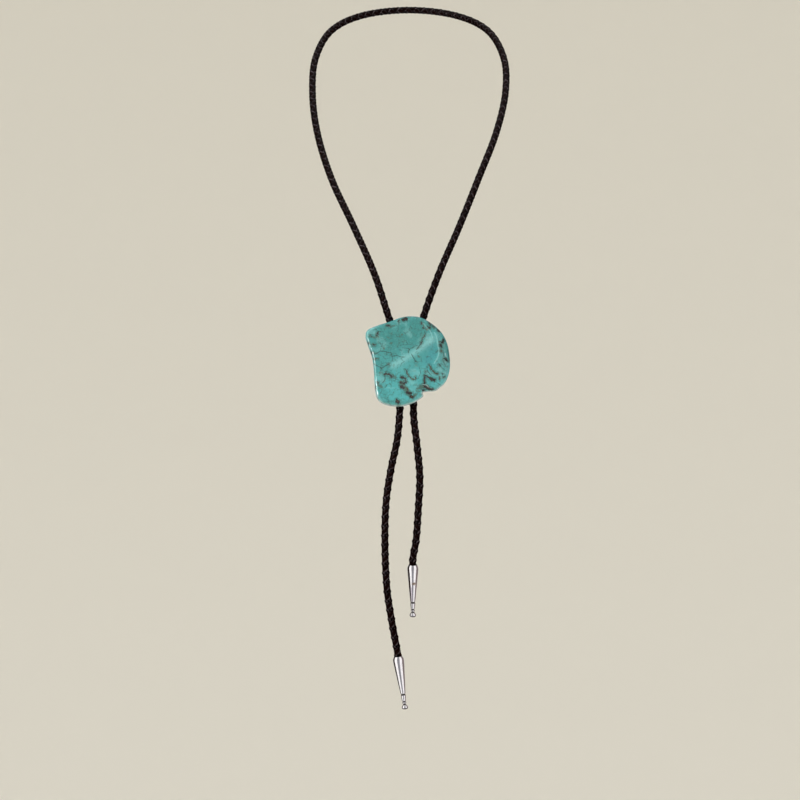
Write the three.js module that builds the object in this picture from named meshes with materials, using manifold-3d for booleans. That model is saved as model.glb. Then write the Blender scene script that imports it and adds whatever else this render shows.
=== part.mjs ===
// Bolo tie: a polished turquoise slab on a slide with two channels, worn on one braided cord with a metal
// tip at each end.
// Lengths are millimetres. +Z is up, the front faces -Y, and +X is on the right of someone who looks at the
// front. The origin is where the cord lies on the nape.

import * as THREE from "three";
import { mergeVertices } from "three/addons/utils/BufferGeometryUtils.js";
import Module from "manifold-3d";

const wasm = await Module();
wasm.setup();

// Driving dimensions: the gap that touching pieces keep
const touchGap = 0.3;

// Driving dimensions: cord
const cordDiameter = 4.4;
const cordSides = 10;
const cordSteps = 78;

// Driving dimensions: stone
const stoneWidth = 51;
const stoneHeight = 55.6;
const stoneThickness = 6.5;
const stoneRim = 2.6; // how far in the rounded edge reaches
const stoneRaise = 2.3; // the stone's middle above the slide's middle
const shoulderDrop = 1.3; // how far the face falls away outside its crescent ridge

// Driving dimensions: slide
const channelSpacing = 8; // between the axes of the two cord channels
const channelLength = 14;
const channelClearance = 0.45;
const channelWall = 0.8;
const plateWidth = 26;
const plateHeight = 20;
const plateThickness = 1.2;
const plateCorner = 5;
const solderDepth = 0.4; // how deep each channel's wall is sunk into the plate
const slideCentre = new THREE.Vector3(-1.2, -143.7, -233.4);
const slideTilt = THREE.MathUtils.degToRad(12); // the top leans back, as the chest does

// Driving dimensions: tips
const tipLength = 32.6;
const tipDiameter = 6.7;
const socketDepth = 8;
const socketClearance = 0.3;
const socketWall = 0.3; // at the mouth
const roundSides = 16;

const cordRadius = cordDiameter / 2;
const boreRadius = cordRadius + channelClearance;
const channelRadius = boreRadius + channelWall;
const plateBack = channelRadius - solderDepth; // in front of the channels' axes
const plateFront = plateBack + plateThickness;
const stoneBack = plateFront + touchGap;
const socketRadius = cordRadius + socketClearance;

const finishes = {
  stone: new THREE.MeshStandardMaterial({ color: 0x53a9a4, roughness: 0.25, metalness: 0 }),
  cord: new THREE.MeshStandardMaterial({ color: 0x1c1210, roughness: 0.4, metalness: 0 }),
  silver: new THREE.MeshStandardMaterial({ color: 0xc9c6c4, roughness: 0.15, metalness: 1 }),
  nickel: new THREE.MeshStandardMaterial({ color: 0xa8a6a2, roughness: 0.35, metalness: 1 }),
};

// The stone's outline, clockwise from its upper left corner: shares of half the width and half the height
// across, up
const stoneOutline = [
  [-1.0, 0.56],
  [-0.96, 0.68],
  [-0.72, 0.79],
  [-0.42, 0.88],
  [-0.16, 0.97],
  [0.1, 1.0],
  [0.34, 0.96],
  [0.58, 0.83],
  [0.8, 0.64],
  [0.93, 0.41],
  [0.99, 0.14],
  [1.0, -0.14],
  [0.945, -0.36],
  [0.86, -0.5],
  [0.79, -0.56],
  [0.67, -0.645],
  [0.46, -0.67],
  [0.345, -0.69],
  [0.37, -0.765],
  [0.31, -0.82],
  [0.13, -0.92],
  [-0.12, -0.99],
  [-0.37, -0.99],
  [-0.59, -0.935],
  [-0.72, -0.83],
  [-0.78, -0.55],
  [-0.8, -0.22],
  [-0.85, 0.11],
  [-0.945, 0.36],
];

// The stone's section from its back to the start of its face. Inset is a share of the rim, height a share of
// the thickness, and relief says how much of the face's own relief the ring takes
// inset, height, relief
const stoneEdge = [
  [0.3, 0, 0],
  [0, 0.12, 0],
  [0, 0.42, 0],
  [0.16, 0.66, 0.4],
  [0.5, 0.86, 0.8],
  [1, 0.95, 1],
];

// Rings of the face, as shares of the outline, down to one short of the middle
const faceRings = [0.78, 0.62, 0.4, 0.2];
const faceEdgeHeight = 0.95; // the face at the rim, as a share of the thickness at the middle

// The crescent ridge on the right of the face is part of this circle, in shares of half the width and height
const ridgeShares = { across: 0.02, up: 0.26, radius: 0.71, softness: 0.3 };

// Half the section of a tip, from its mouth down to its end: shares of the tip's length and radius
// along, radius
const tipProfile = [
  [0.012, 0.91],
  [0.032, 0.965],
  [0.075, 1.0],
  [0.13, 0.975],
  [0.42, 0.72],
  [0.7, 0.455],
  [0.712, 0.385],
  [0.728, 0.385],
  [0.738, 0.44],
  [0.842, 0.36],
  [0.852, 0.28],
  [0.864, 0.28],
  [0.885, 0.35],
  [0.906, 0.24],
  [0.918, 0.33],
  [0.942, 0.5],
  [0.966, 0.575],
  [0.986, 0.53],
  [1.0, 0.4],
];

// The cord's route. It starts inside the tip of the long tail, on the left, and ends inside the tip of the
// short one.
// x, y, z
const longTail = [
  [-6.0, -159.7, -414.5],
  [-7.5, -161.2, -403.4],
  [-10.6, -163.3, -386.5],
  [-13.6, -164.7, -366.0],
  [-14.8, -164.4, -339.0],
  [-14.1, -161.0, -314.0],
  [-11.2, -157.2, -294.5],
  [-7.3, -152.9, -275.5],
];
const leftOfNeck = [
  [-12.0, -137.4, -204.9],
  [-21.3, -127.8, -176.5],
  [-34.3, -115.1, -146.6],
  [-48.3, -98.8, -116.0],
  [-57.8, -76.8, -84.6],
  [-61.1, -56.3, -57.6],
  [-59.6, -39.8, -35.7],
  [-50.0, -21.1, -16.0],
  [-31.0, -5.4, -4.6],
];
const rightOfNeck = [
  [31.0, -5.4, -4.6],
  [50.6, -21.1, -16.0],
  [60.3, -39.8, -35.7],
  [60.9, -56.3, -57.6],
  [54.8, -76.8, -84.6],
  [42.8, -98.8, -116.0],
  [30.6, -115.1, -146.6],
  [17.8, -127.8, -176.5],
  [7.8, -137.4, -204.9],
];
const shortTail = [
  [2.4, -149.5, -262.2],
  [4.4, -154.0, -279.9],
  [6.1, -158.3, -299.1],
  [5.2, -161.6, -318.2],
  [3.8, -164.1, -337.3],
  [1.9, -163.7, -348.6],
  [1.9, -161.2, -359.3],
];

// A geometry with shared corners and nothing but positions, as joining and cutting need it.
function bareMesh(geometry) {
  const bare = geometry.clone();
  bare.deleteAttribute("normal");
  bare.deleteAttribute("uv");
  return mergeVertices(bare, 1e-4);
}

function solidOf(geometry) {
  const merged = bareMesh(geometry);
  return new wasm.Manifold(
    new wasm.Mesh({
      numProp: 3,
      vertProperties: merged.attributes.position.array,
      triVerts: new Uint32Array(merged.index.array),
    }),
  );
}

function geometryOf(solid) {
  const { numProp, vertProperties, triVerts } = solid.getMesh();
  const positions = new Float32Array((vertProperties.length / numProp) * 3);
  for (let i = 0; i < positions.length / 3; i++) {
    positions.set(vertProperties.subarray(i * numProp, i * numProp + 3), i * 3);
  }
  const geometry = new THREE.BufferGeometry();
  geometry.setAttribute("position", new THREE.BufferAttribute(positions, 3));
  geometry.setIndex(new THREE.BufferAttribute(triVerts, 1));
  geometry.computeVertexNormals();
  return geometry;
}

// A closed loft through rings with as many points each, closed by a fan at each end.
function loft(rings, firstMiddle, lastMiddle) {
  const count = rings[0].length;
  const points = [...rings.flat(), firstMiddle, lastMiddle];
  const first = rings.length * count;
  const last = first + 1;
  const triangles = [];
  for (let i = 0; i < count; i++) {
    const next = (i + 1) % count;
    triangles.push(first, i, next);
    for (let r = 0; r + 1 < rings.length; r++) {
      const low = r * count;
      const high = low + count;
      triangles.push(low + i, high + i, low + next, low + next, high + i, high + next);
    }
    const top = (rings.length - 1) * count;
    triangles.push(last, top + next, top + i);
  }
  const geometry = new THREE.BufferGeometry().setFromPoints(points);
  geometry.setIndex(triangles);
  geometry.computeVertexNormals();
  return geometry;
}

// How far the face lies below its plain crown, from 0 inside the crescent ridge to 1 well outside it.
function outsideRidge(across, up) {
  const { radius, softness } = ridgeShares;
  const distance = Math.hypot(across - ridgeShares.across, up - ridgeShares.up);
  const past = THREE.MathUtils.smoothstep(distance, radius, radius + softness);
  return past * THREE.MathUtils.smoothstep(across, 0, softness);
}

function makeStone() {
  const knots = stoneOutline.map(([across, up]) => new THREE.Vector3(across, 0, up));
  const curve = new THREE.CatmullRomCurve3(knots, true, "centripetal");
  const outline = curve.getPoints(knots.length * 2).slice(0, -1);
  const ringAt = (share, height, relief) =>
    outline.map(({ x, z }) => {
      const drop = shoulderDrop * relief * outsideRidge(x * share, z * share);
      return new THREE.Vector3((x * share * stoneWidth) / 2, drop - height, (z * share * stoneHeight) / 2);
    });
  const edge = stoneEdge.map(([inset, height, relief]) =>
    ringAt(1 - (inset * stoneRim * 2) / stoneWidth, height * stoneThickness, relief),
  );
  const face = faceRings.map((share) => {
    const crown = 1 - (1 - faceEdgeHeight) * share * share;
    return ringAt(share, crown * stoneThickness, 1);
  });
  const backMiddle = new THREE.Vector3(0, 0, 0);
  const faceMiddle = new THREE.Vector3(0, -stoneThickness, 0);
  const stone = new THREE.Mesh(loft([...edge, ...face], backMiddle, faceMiddle), finishes.stone);
  stone.name = "stone";
  stone.position.set(0, -stoneBack, stoneRaise);
  return stone;
}

function roundedPlate(width, height, corner, thickness) {
  const [x, z] = [width / 2, height / 2];
  const shape = new THREE.Shape();
  shape.absarc(x - corner, z - corner, corner, 0, Math.PI / 2);
  shape.absarc(corner - x, z - corner, corner, Math.PI / 2, Math.PI);
  shape.absarc(corner - x, corner - z, corner, Math.PI, Math.PI * 1.5);
  shape.absarc(x - corner, corner - z, corner, Math.PI * 1.5, Math.PI * 2);
  const options = { depth: thickness, bevelEnabled: false, curveSegments: 4 };
  const geometry = new THREE.ExtrudeGeometry(shape, options);
  return geometry.rotateX(Math.PI / 2); // its thickness now runs from y = 0 to -thickness
}

// The slide: a plate soldered to two short tubes, which the cord's two runs pass through.
function makeSlide() {
  const tube = (radius, length, side) =>
    solidOf(
      new THREE.CylinderGeometry(radius, radius, length, roundSides)
        .rotateX(Math.PI / 2)
        .translate((side * channelSpacing) / 2, 0, 0),
    );
  const plate = roundedPlate(plateWidth, plateHeight, plateCorner, plateThickness);
  let body = solidOf(plate.translate(0, -plateBack, 0));
  for (const side of [-1, 1]) {
    body = body.add(tube(channelRadius, channelLength, side));
  }
  for (const side of [-1, 1]) {
    body = body.subtract(tube(boreRadius, channelLength * 2, side));
  }
  const slide = new THREE.Mesh(geometryOf(body), finishes.nickel);
  slide.name = "slide";
  return slide;
}

// The stone and its slide hang together, leaning back as the chest does.
const slideGroup = new THREE.Group();
slideGroup.position.copy(slideCentre);
slideGroup.rotation.x = -slideTilt;
slideGroup.add(makeStone(), makeSlide());
slideGroup.updateMatrixWorld(true);

// Three points on a channel's axis, from above the slide to below it.
function throughSlide(side) {
  const across = (side * channelSpacing) / 2;
  const reach = channelLength / 2 + cordRadius;
  return [reach, 0, -reach].map((z) => slideGroup.localToWorld(new THREE.Vector3(across, 0, z)));
}

const vectors = (rows) => rows.map(([x, y, z]) => new THREE.Vector3(x, y, z));
const route = [
  ...vectors(longTail),
  ...throughSlide(-1).reverse(),
  ...vectors(leftOfNeck),
  new THREE.Vector3(0, cordRadius, 0),
  ...vectors(rightOfNeck),
  ...throughSlide(1),
  ...vectors(shortTail),
];

function makeCord() {
  const section = new THREE.Shape();
  for (let i = 0; i < cordSides; i++) {
    const angle = (i * 2 * Math.PI) / cordSides;
    const corner = [cordRadius * Math.cos(angle), cordRadius * Math.sin(angle)];
    if (i === 0) section.moveTo(...corner);
    else section.lineTo(...corner);
  }
  const curve = new THREE.CatmullRomCurve3(route, false, "centripetal");
  const options = { steps: cordSteps, extrudePath: curve, bevelEnabled: false };
  const geometry = new THREE.ExtrudeGeometry(section, options);
  const cord = new THREE.Mesh(geometry, finishes.cord);
  cord.name = "cord";
  return cord;
}

// A tip on the cord's end. Its socket takes the cord's last stretch, down to just above the floor.
function makeTip(name, cordEnd, cordBefore) {
  const outside = tipProfile.map(([along, radius]) => [along * tipLength, (radius * tipDiameter) / 2]);
  const socket = [
    [socketDepth, 0],
    [socketDepth, socketRadius],
    [0, socketRadius],
    [0, socketRadius + socketWall],
  ];
  const section = [...socket, ...outside, [tipLength, 0]];
  const cordFoot = socketDepth - touchGap; // how far below the mouth the cord ends
  const profile = section.map(([along, radius]) => new THREE.Vector2(radius, cordFoot - along));
  const tip = new THREE.Mesh(new THREE.LatheGeometry(profile.reverse(), roundSides), finishes.silver);
  const up = cordBefore.clone().sub(cordEnd).normalize();
  tip.quaternion.setFromUnitVectors(new THREE.Vector3(0, 1, 0), up);
  tip.position.copy(cordEnd);
  tip.name = name;
  return tip;
}

const boloTie = new THREE.Group();
boloTie.add(
  slideGroup,
  makeCord(),
  makeTip("tip_long_tail", route[0], route[1]),
  makeTip("tip_short_tail", route.at(-1), route.at(-2)),
);

export default boloTie;
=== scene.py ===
import math

import bpy
import numpy as np
from mathutils import Matrix, Vector


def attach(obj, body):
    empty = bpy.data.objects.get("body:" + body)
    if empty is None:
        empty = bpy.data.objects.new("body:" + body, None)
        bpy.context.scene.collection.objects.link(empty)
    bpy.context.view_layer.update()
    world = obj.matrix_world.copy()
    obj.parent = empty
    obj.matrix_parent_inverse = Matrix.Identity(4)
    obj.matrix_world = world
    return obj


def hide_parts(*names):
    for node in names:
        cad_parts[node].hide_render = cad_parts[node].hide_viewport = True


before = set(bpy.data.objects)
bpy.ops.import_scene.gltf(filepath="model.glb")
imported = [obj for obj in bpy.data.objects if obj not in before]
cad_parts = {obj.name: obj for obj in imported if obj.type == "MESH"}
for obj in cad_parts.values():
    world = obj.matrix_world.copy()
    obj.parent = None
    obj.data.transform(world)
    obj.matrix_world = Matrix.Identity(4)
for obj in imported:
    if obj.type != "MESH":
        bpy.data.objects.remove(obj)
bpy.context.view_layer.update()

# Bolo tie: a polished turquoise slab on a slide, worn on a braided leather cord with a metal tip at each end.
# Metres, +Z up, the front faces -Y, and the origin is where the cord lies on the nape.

mm = 0.001
bpy.ops.object.select_all(action="DESELECT")


# Small helpers

def smooth(share):
    share = np.clip(share, 0, 1)
    return share * share * (3 - 2 * share)


def selectOnly(piece):
    bpy.ops.object.select_all(action="DESELECT")
    piece.select_set(True)
    bpy.context.view_layer.objects.active = piece


def applyPlace(piece):
    selectOnly(piece)
    bpy.ops.object.transform_apply(location=True, rotation=True, scale=True)


def editAll(piece, mode="FACE"):
    selectOnly(piece)
    bpy.ops.object.mode_set(mode="EDIT")
    bpy.ops.mesh.select_mode(type=mode)
    bpy.ops.mesh.select_all(action="SELECT")


def leaveEdit():
    bpy.ops.object.mode_set(mode="OBJECT")


def closeSeams(piece, within=1e-6):
    editAll(piece, "VERT")
    bpy.ops.mesh.remove_doubles(threshold=within)
    bpy.ops.mesh.normals_make_consistent(inside=False)
    leaveEdit()


def applyModifier(piece, kind, **settings):
    selectOnly(piece)
    modifier = piece.modifiers.new(kind.lower(), kind)
    for name, value in settings.items():
        setattr(modifier, name, value)
    bpy.ops.object.modifier_apply(modifier=modifier.name)


def smoothShade(piece, degrees):
    selectOnly(piece)
    bpy.ops.object.shade_smooth_by_angle(angle=math.radians(degrees))


def pointsOf(piece):
    points = np.zeros(len(piece.data.vertices) * 3)
    piece.data.vertices.foreach_get("co", points)
    return points.reshape(-1, 3)


def movePoints(piece, points):
    piece.data.vertices.foreach_set("co", np.asarray(points, float).ravel())
    piece.data.update()


def paint(piece, name, values):
    layer = piece.data.attributes.new(name, "FLOAT", "POINT")
    layer.data.foreach_set("value", np.asarray(values, np.float32))


# A centripetal Catmull-Rom curve through the knots, with some samples for each span.
def curveThrough(knots, samplesPerSpan, closed):
    knots = np.array(knots, float)
    if closed:
        padded = np.vstack([knots[-1:], knots, knots[:2]])
        spans = len(knots)
    else:
        padded = np.vstack([2 * knots[0] - knots[1], knots, 2 * knots[-1] - knots[-2]])
        spans = len(knots) - 1
    samples = []
    for i in range(spans):
        before, start, end, after = padded[i:i + 4]
        gaps = [np.linalg.norm(b - a) ** 0.5 for a, b in ((before, start), (start, end), (end, after))]
        leave = (start - before) / gaps[0] - (end - before) / (gaps[0] + gaps[1]) + (end - start) / gaps[1]
        arrive = (end - start) / gaps[1] - (after - start) / (gaps[1] + gaps[2]) + (after - end) / gaps[2]
        leave = leave * gaps[1]
        arrive = arrive * gaps[1]
        for step in range(samplesPerSpan):
            t = step / samplesPerSpan
            a = 2 * t ** 3 - 3 * t ** 2 + 1
            b = t ** 3 - 2 * t ** 2 + t
            c = 3 * t ** 2 - 2 * t ** 3
            d = t ** 3 - t ** 2
            samples.append(a * start + b * leave + c * end + d * arrive)
    if not closed:
        samples.append(knots[-1])
    return np.array(samples)


# The same line with its points at even steps, and how far along each one is.
def evenSteps(line, step):
    lengths = np.linalg.norm(np.diff(line, axis=0), axis=1)
    along = np.concatenate([[0], np.cumsum(lengths)])
    count = int(round(along[-1] / step)) + 1
    places = np.linspace(0, along[-1], count)
    return np.stack([np.interp(places, along, line[:, k]) for k in range(3)], axis=1), places


def unit(vectors):
    return vectors / np.linalg.norm(vectors, axis=-1, keepdims=True)


# Node helpers: a material is built from small named steps

def newMaterial(name):
    material = bpy.data.materials.new(name)
    material.use_nodes = True
    tree = material.node_tree
    tree.nodes.clear()
    surface = tree.nodes.new("ShaderNodeBsdfPrincipled")
    output = tree.nodes.new("ShaderNodeOutputMaterial")
    tree.links.new(surface.outputs["BSDF"], output.inputs["Surface"])
    return material, tree, surface


def setInput(tree, socket, value):
    if isinstance(value, bpy.types.NodeSocket):
        tree.links.new(value, socket)
    elif isinstance(value, (tuple, list)) and socket.type == "RGBA":
        socket.default_value = (*value[:3], 1)
    else:
        socket.default_value = value


def objectPlace(tree, scale=(1, 1, 1)):
    place = tree.nodes.new("ShaderNodeTexCoord").outputs["Object"]
    mapping = tree.nodes.new("ShaderNodeMapping")
    tree.links.new(place, mapping.inputs["Vector"])
    mapping.inputs["Scale"].default_value = scale
    return mapping.outputs["Vector"]


def uvPlace(tree, layer, scale=(1, 1, 1)):
    node = tree.nodes.new("ShaderNodeUVMap")
    node.uv_map = layer
    mapping = tree.nodes.new("ShaderNodeMapping")
    tree.links.new(node.outputs["UV"], mapping.inputs["Vector"])
    mapping.inputs["Scale"].default_value = scale
    return mapping.outputs["Vector"]


def noise(tree, place, scale, detail=3.0, roughness=0.5, distortion=0.0):
    node = tree.nodes.new("ShaderNodeTexNoise")
    setInput(tree, node.inputs["Vector"], place)
    node.inputs["Scale"].default_value = scale
    node.inputs["Detail"].default_value = detail
    node.inputs["Roughness"].default_value = roughness
    node.inputs["Distortion"].default_value = distortion
    return node.outputs["Fac"]


def cells(tree, place, scale):
    node = tree.nodes.new("ShaderNodeTexVoronoi")
    node.feature = "DISTANCE_TO_EDGE"
    setInput(tree, node.inputs["Vector"], place)
    node.inputs["Scale"].default_value = scale
    return node.outputs["Distance"]


def ranged(tree, value, low, high, outLow=0.0, outHigh=1.0, smoothly=True):
    node = tree.nodes.new("ShaderNodeMapRange")
    node.interpolation_type = "SMOOTHSTEP" if smoothly else "LINEAR"
    setInput(tree, node.inputs["Value"], value)
    node.inputs["From Min"].default_value = low
    node.inputs["From Max"].default_value = high
    node.inputs["To Min"].default_value = outLow
    node.inputs["To Max"].default_value = outHigh
    return node.outputs["Result"]


def sums(tree, operation, first, second=0.5):
    node = tree.nodes.new("ShaderNodeMath")
    node.operation = operation
    setInput(tree, node.inputs[0], first)
    setInput(tree, node.inputs[1], second)
    return node.outputs["Value"]


def times(tree, first, second):
    return sums(tree, "MULTIPLY", first, second)


def plus(tree, first, second):
    return sums(tree, "ADD", first, second)


def colours(tree, factor, first, second):
    node = tree.nodes.new("ShaderNodeMix")
    node.data_type = "RGBA"
    setInput(tree, node.inputs[0], factor)
    setInput(tree, node.inputs[6], first)
    setInput(tree, node.inputs[7], second)
    return node.outputs[2]


def painted(tree, name):
    node = tree.nodes.new("ShaderNodeAttribute")
    node.attribute_name = name
    return node.outputs["Fac"]


def bump(tree, height, strength, distance, onTopOf=None):
    node = tree.nodes.new("ShaderNodeBump")
    node.inputs["Strength"].default_value = strength
    node.inputs["Distance"].default_value = distance
    setInput(tree, node.inputs["Height"], height)
    if onTopOf is not None:
        tree.links.new(onTopOf, node.inputs["Normal"])
    return node.outputs["Normal"]


# Camera: level, in front, at the height of the picture's middle

cameraView = {
    "place": (-0.0058, -2.1528, -0.2531),
    "pictureWidth": 800,  # pixels
    "focalLength": 3319.5,  # in the same pixels
    "sensorWidth": 36.0,  # mm
}


def addCamera():
    bpy.ops.object.camera_add(location=cameraView["place"], rotation=(math.radians(90), 0, 0))
    camera = bpy.context.object
    camera.name = "camera"
    camera.data.sensor_width = cameraView["sensorWidth"]
    camera.data.lens = cameraView["sensorWidth"] * cameraView["focalLength"] / cameraView["pictureWidth"]
    bpy.context.scene.camera = camera


addCamera()
print("camera: in place")


# Cord: four leather laces plaited round a core, two turning each way

cord = {
    "diameter": 0.0044,
    "length": 0.9626,  # from socket to socket
    "pitch": 0.0112,  # one whole turn of a lace
    "laceWidth": 0.0039,
    "laceThickness": 0.0012,
    "middleRadius": 0.00160,
    "rise": 0.00022,  # how far a lace goes out over, and in under, its neighbours
    "laceBend": 0.0023,  # the lace is curved across its width to this radius
    "laceSides": 8,
    "roundness": (0.8, 0.85),  # across and out: 1 is an oval section, less is nearer a box
    "rubbedSheen": [0.0, 1.0, 0.0, 0.7, 0.0, 0.0, 0.0, 0.0],  # how strongly each side of a lace gets the rubbed tone: worn leather and a painted sheen
    "coreCrown": 0.3,  # the core lies deep, so it gets the painted crevice shade
    "samplesPerSpan": 40,
    "coreRadius": 0.00205,
    "coreSides": 8,
    "step": 0.00045,
    "coreStep": 0.002,
    # how far along, and by what angle the plait has turned there
    "turn": [(0.0, 0), (0.19, 0), (0.26, 45), (0.76, 45), (0.82, 90), (0.9626, 90)],
    # from inside the long tail's tip, round the nape, to inside the short tail's tip
    "route": [
        (-0.0060, -0.1597, -0.4145), (-0.0075, -0.1612, -0.4034), (-0.0106, -0.1633, -0.3865),
        (-0.0136, -0.1647, -0.3660), (-0.0148, -0.1644, -0.3390), (-0.0141, -0.1610, -0.3140),
        (-0.0112, -0.1572, -0.2945), (-0.0073, -0.1529, -0.2755),
        (-0.0052, -0.14561, -0.24240), (-0.0052, -0.1437, -0.2334), (-0.0052, -0.14179, -0.22440),
        (-0.0120, -0.1374, -0.2049), (-0.0213, -0.1278, -0.1765), (-0.0343, -0.1151, -0.1466),
        (-0.0483, -0.0988, -0.1160), (-0.0578, -0.0768, -0.0846), (-0.0611, -0.0563, -0.0576),
        (-0.0596, -0.0398, -0.0357), (-0.0500, -0.0211, -0.0160), (-0.0310, -0.0054, -0.0046),
        (0.0, 0.0022, 0.0),
        (0.0310, -0.0054, -0.0046), (0.0506, -0.0211, -0.0160), (0.0603, -0.0398, -0.0357),
        (0.0609, -0.0563, -0.0576), (0.0548, -0.0768, -0.0846), (0.0428, -0.0988, -0.1160),
        (0.0306, -0.1151, -0.1466), (0.0178, -0.1278, -0.1765), (0.0078, -0.1374, -0.2049),
        (0.0028, -0.14179, -0.22440), (0.0028, -0.1437, -0.2334), (0.0028, -0.14561, -0.24240),
        (0.0024, -0.1495, -0.2622), (0.0044, -0.1540, -0.2799), (0.0061, -0.1583, -0.2991),
        (0.0052, -0.1616, -0.3182), (0.0038, -0.1641, -0.3373), (0.0019, -0.1637, -0.3486),
        (0.0019, -0.1612, -0.3593),
    ],
}


# The line's own directions: along it, towards the front, and across to make a right-handed set.
def directionsOf(line):
    along = unit(np.gradient(line, axis=0))
    front = np.array([0.0, -1.0, 0.0]) - along * (-along[:, 1:2])
    front = unit(front)
    return along, front, np.cross(along, front)


# The faces of a tube through rings of points, with one more face over each end.
def tubeFaces(rings, sides, first):
    faces = []
    for r in range(rings - 1):
        for k in range(sides):
            a = first + r * sides + k
            b = first + r * sides + (k + 1) % sides
            faces.append((a, b, b + sides, a + sides))
    faces.append(tuple(first + k for k in reversed(range(sides))))
    faces.append(tuple(first + (rings - 1) * sides + k for k in range(sides)))
    return faces


def laceSection():
    angles = np.arange(cord["laceSides"]) * 2 * math.pi / cord["laceSides"]
    across = np.sign(np.cos(angles)) * np.abs(np.cos(angles)) ** cord["roundness"][0] * cord["laceWidth"] / 2
    out = np.sign(np.sin(angles)) * np.abs(np.sin(angles)) ** cord["roundness"][1] * cord["laceThickness"] / 2
    return across, out - across ** 2 / (2 * cord["laceBend"])


def makeCord():
    line = curveThrough(cord["route"], cord["samplesPerSpan"], closed=False)
    points, places = evenSteps(line, cord["step"])
    along, front, across = directionsOf(points)
    turned = np.radians(np.interp(places, *zip(*cord["turn"])))
    wave = np.cos(4 * math.pi * places / cord["pitch"])
    sectionAcross, sectionOut = laceSection()
    vertices, faces, runs, crowns, rubbedSheen = [], [], [], [], []
    for way in (1, -1):
        for start in (0, math.pi):
            angle = way * 2 * math.pi * places / cord["pitch"] + start + turned
            outward = front * np.cos(angle)[:, None] + across * np.sin(angle)[:, None]
            radius = cord["middleRadius"] + way * cord["rise"] * wave
            middle = points + outward * radius[:, None]
            heading = unit(np.gradient(middle, axis=0))
            outward = unit(outward - heading * np.sum(outward * heading, axis=1)[:, None])
            aside = np.cross(heading, outward)
            rings = (
                middle[:, None, :]
                + aside[:, None, :] * sectionAcross[None, :, None]
                + outward[:, None, :] * sectionOut[None, :, None]
            )
            faces += tubeFaces(len(points), cord["laceSides"], len(vertices))
            vertices += rings.reshape(-1, 3).tolist()
            for i, place in enumerate(places):
                for k in range(cord["laceSides"]):
                    runs.append((place / cord["pitch"] + way * 10, k / cord["laceSides"] + start))
            # How far out each point lies, as a share of the cord's radius; the finish paints shade into the
            # low parts.
            reach = np.linalg.norm(rings - points[:, None, :], axis=2)
            crowns += (reach / (cord["diameter"] / 2)).ravel().tolist()
            # Which sides of each lace get the rubbed tone, worn leather and painted sheen.
            rubbedSheen += cord["rubbedSheen"] * len(points)
    corePoints, corePlaces = evenSteps(line, cord["coreStep"])
    coreAlong, coreFront, coreAcross = directionsOf(corePoints)
    coreAngles = np.arange(cord["coreSides"]) * 2 * math.pi / cord["coreSides"]
    coreRings = corePoints[:, None, :] + cord["coreRadius"] * (
        coreFront[:, None, :] * np.cos(coreAngles)[None, :, None]
        + coreAcross[:, None, :] * np.sin(coreAngles)[None, :, None]
    )
    faces += tubeFaces(len(corePoints), cord["coreSides"], len(vertices))
    vertices += coreRings.reshape(-1, 3).tolist()
    runs += [(place / cord["pitch"], 0.5) for place in corePlaces for k in range(cord["coreSides"])]
    crowns += [cord["coreCrown"]] * (len(corePoints) * cord["coreSides"])
    rubbedSheen += [0.0] * (len(corePoints) * cord["coreSides"])

    mesh = bpy.data.meshes.new("braided_cord")
    mesh.from_pydata(vertices, [], faces)
    mesh.update()
    piece = bpy.data.objects.new("braided_cord", mesh)
    bpy.context.scene.collection.objects.link(piece)
    runLayer = mesh.uv_layers.new(name="laceRun")
    corners = np.zeros(len(mesh.loops), int)
    mesh.loops.foreach_get("vertex_index", corners)
    runLayer.data.foreach_set("uv", np.array(runs)[corners].ravel())
    paint(piece, "crown", crowns)
    paint(piece, "rubbedSheen", rubbedSheen)
    smoothShade(piece, 70)
    return piece, points


braidedCord, cordLine = makeCord()
print("cord: plaited,", len(braidedCord.data.polygons), "faces")


# Tips: turned metal cones with a socket, two grooves and a bell-shaped end

tip = {
    "length": 0.0326,
    "diameter": 0.0067,
    "socketDepth": 0.008,
    "socketRadius": 0.0025,
    "mouthRadius": 0.00242,  # crimped onto the cord
    "lip": 0.00008,
    # where dirt sits, and how far it spreads
    "grooves": [(0.719, 0.014), (0.856, 0.011), (0.903, 0.012), (0.992, 0.017)],
    "cordStop": 0.0003,  # between the cord's end and the socket's floor
    "sides": 64,
    "mouthTaper": 0.0012,  # how far inside the mouth the socket begins to narrow
    # shares of the length and of the radius, from the mouth down to the end
    "profile": [
        (0.003, 0.755), (0.010, 0.80), (0.022, 0.86), (0.036, 0.92), (0.051, 0.965), (0.067, 0.99),
        (0.084, 1.0), (0.105, 0.993), (0.13, 0.972), (0.22, 0.895), (0.32, 0.808), (0.42, 0.72), (0.52, 0.63),
        (0.61, 0.545), (0.69, 0.466), (0.705, 0.452), (0.708, 0.43), (0.711, 0.34), (0.727, 0.34),
        (0.730, 0.42), (0.733, 0.44), (0.746, 0.447), (0.79, 0.405), (0.842, 0.363), (0.846, 0.34),
        (0.850, 0.25), (0.862, 0.25), (0.866, 0.33), (0.872, 0.35), (0.882, 0.355), (0.892, 0.345),
        (0.899, 0.24), (0.908, 0.235), (0.916, 0.31), (0.93, 0.42), (0.946, 0.52), (0.96, 0.57),
        (0.972, 0.575), (0.984, 0.54), (0.994, 0.46), (1.0, 0.36),
    ],
}


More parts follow.
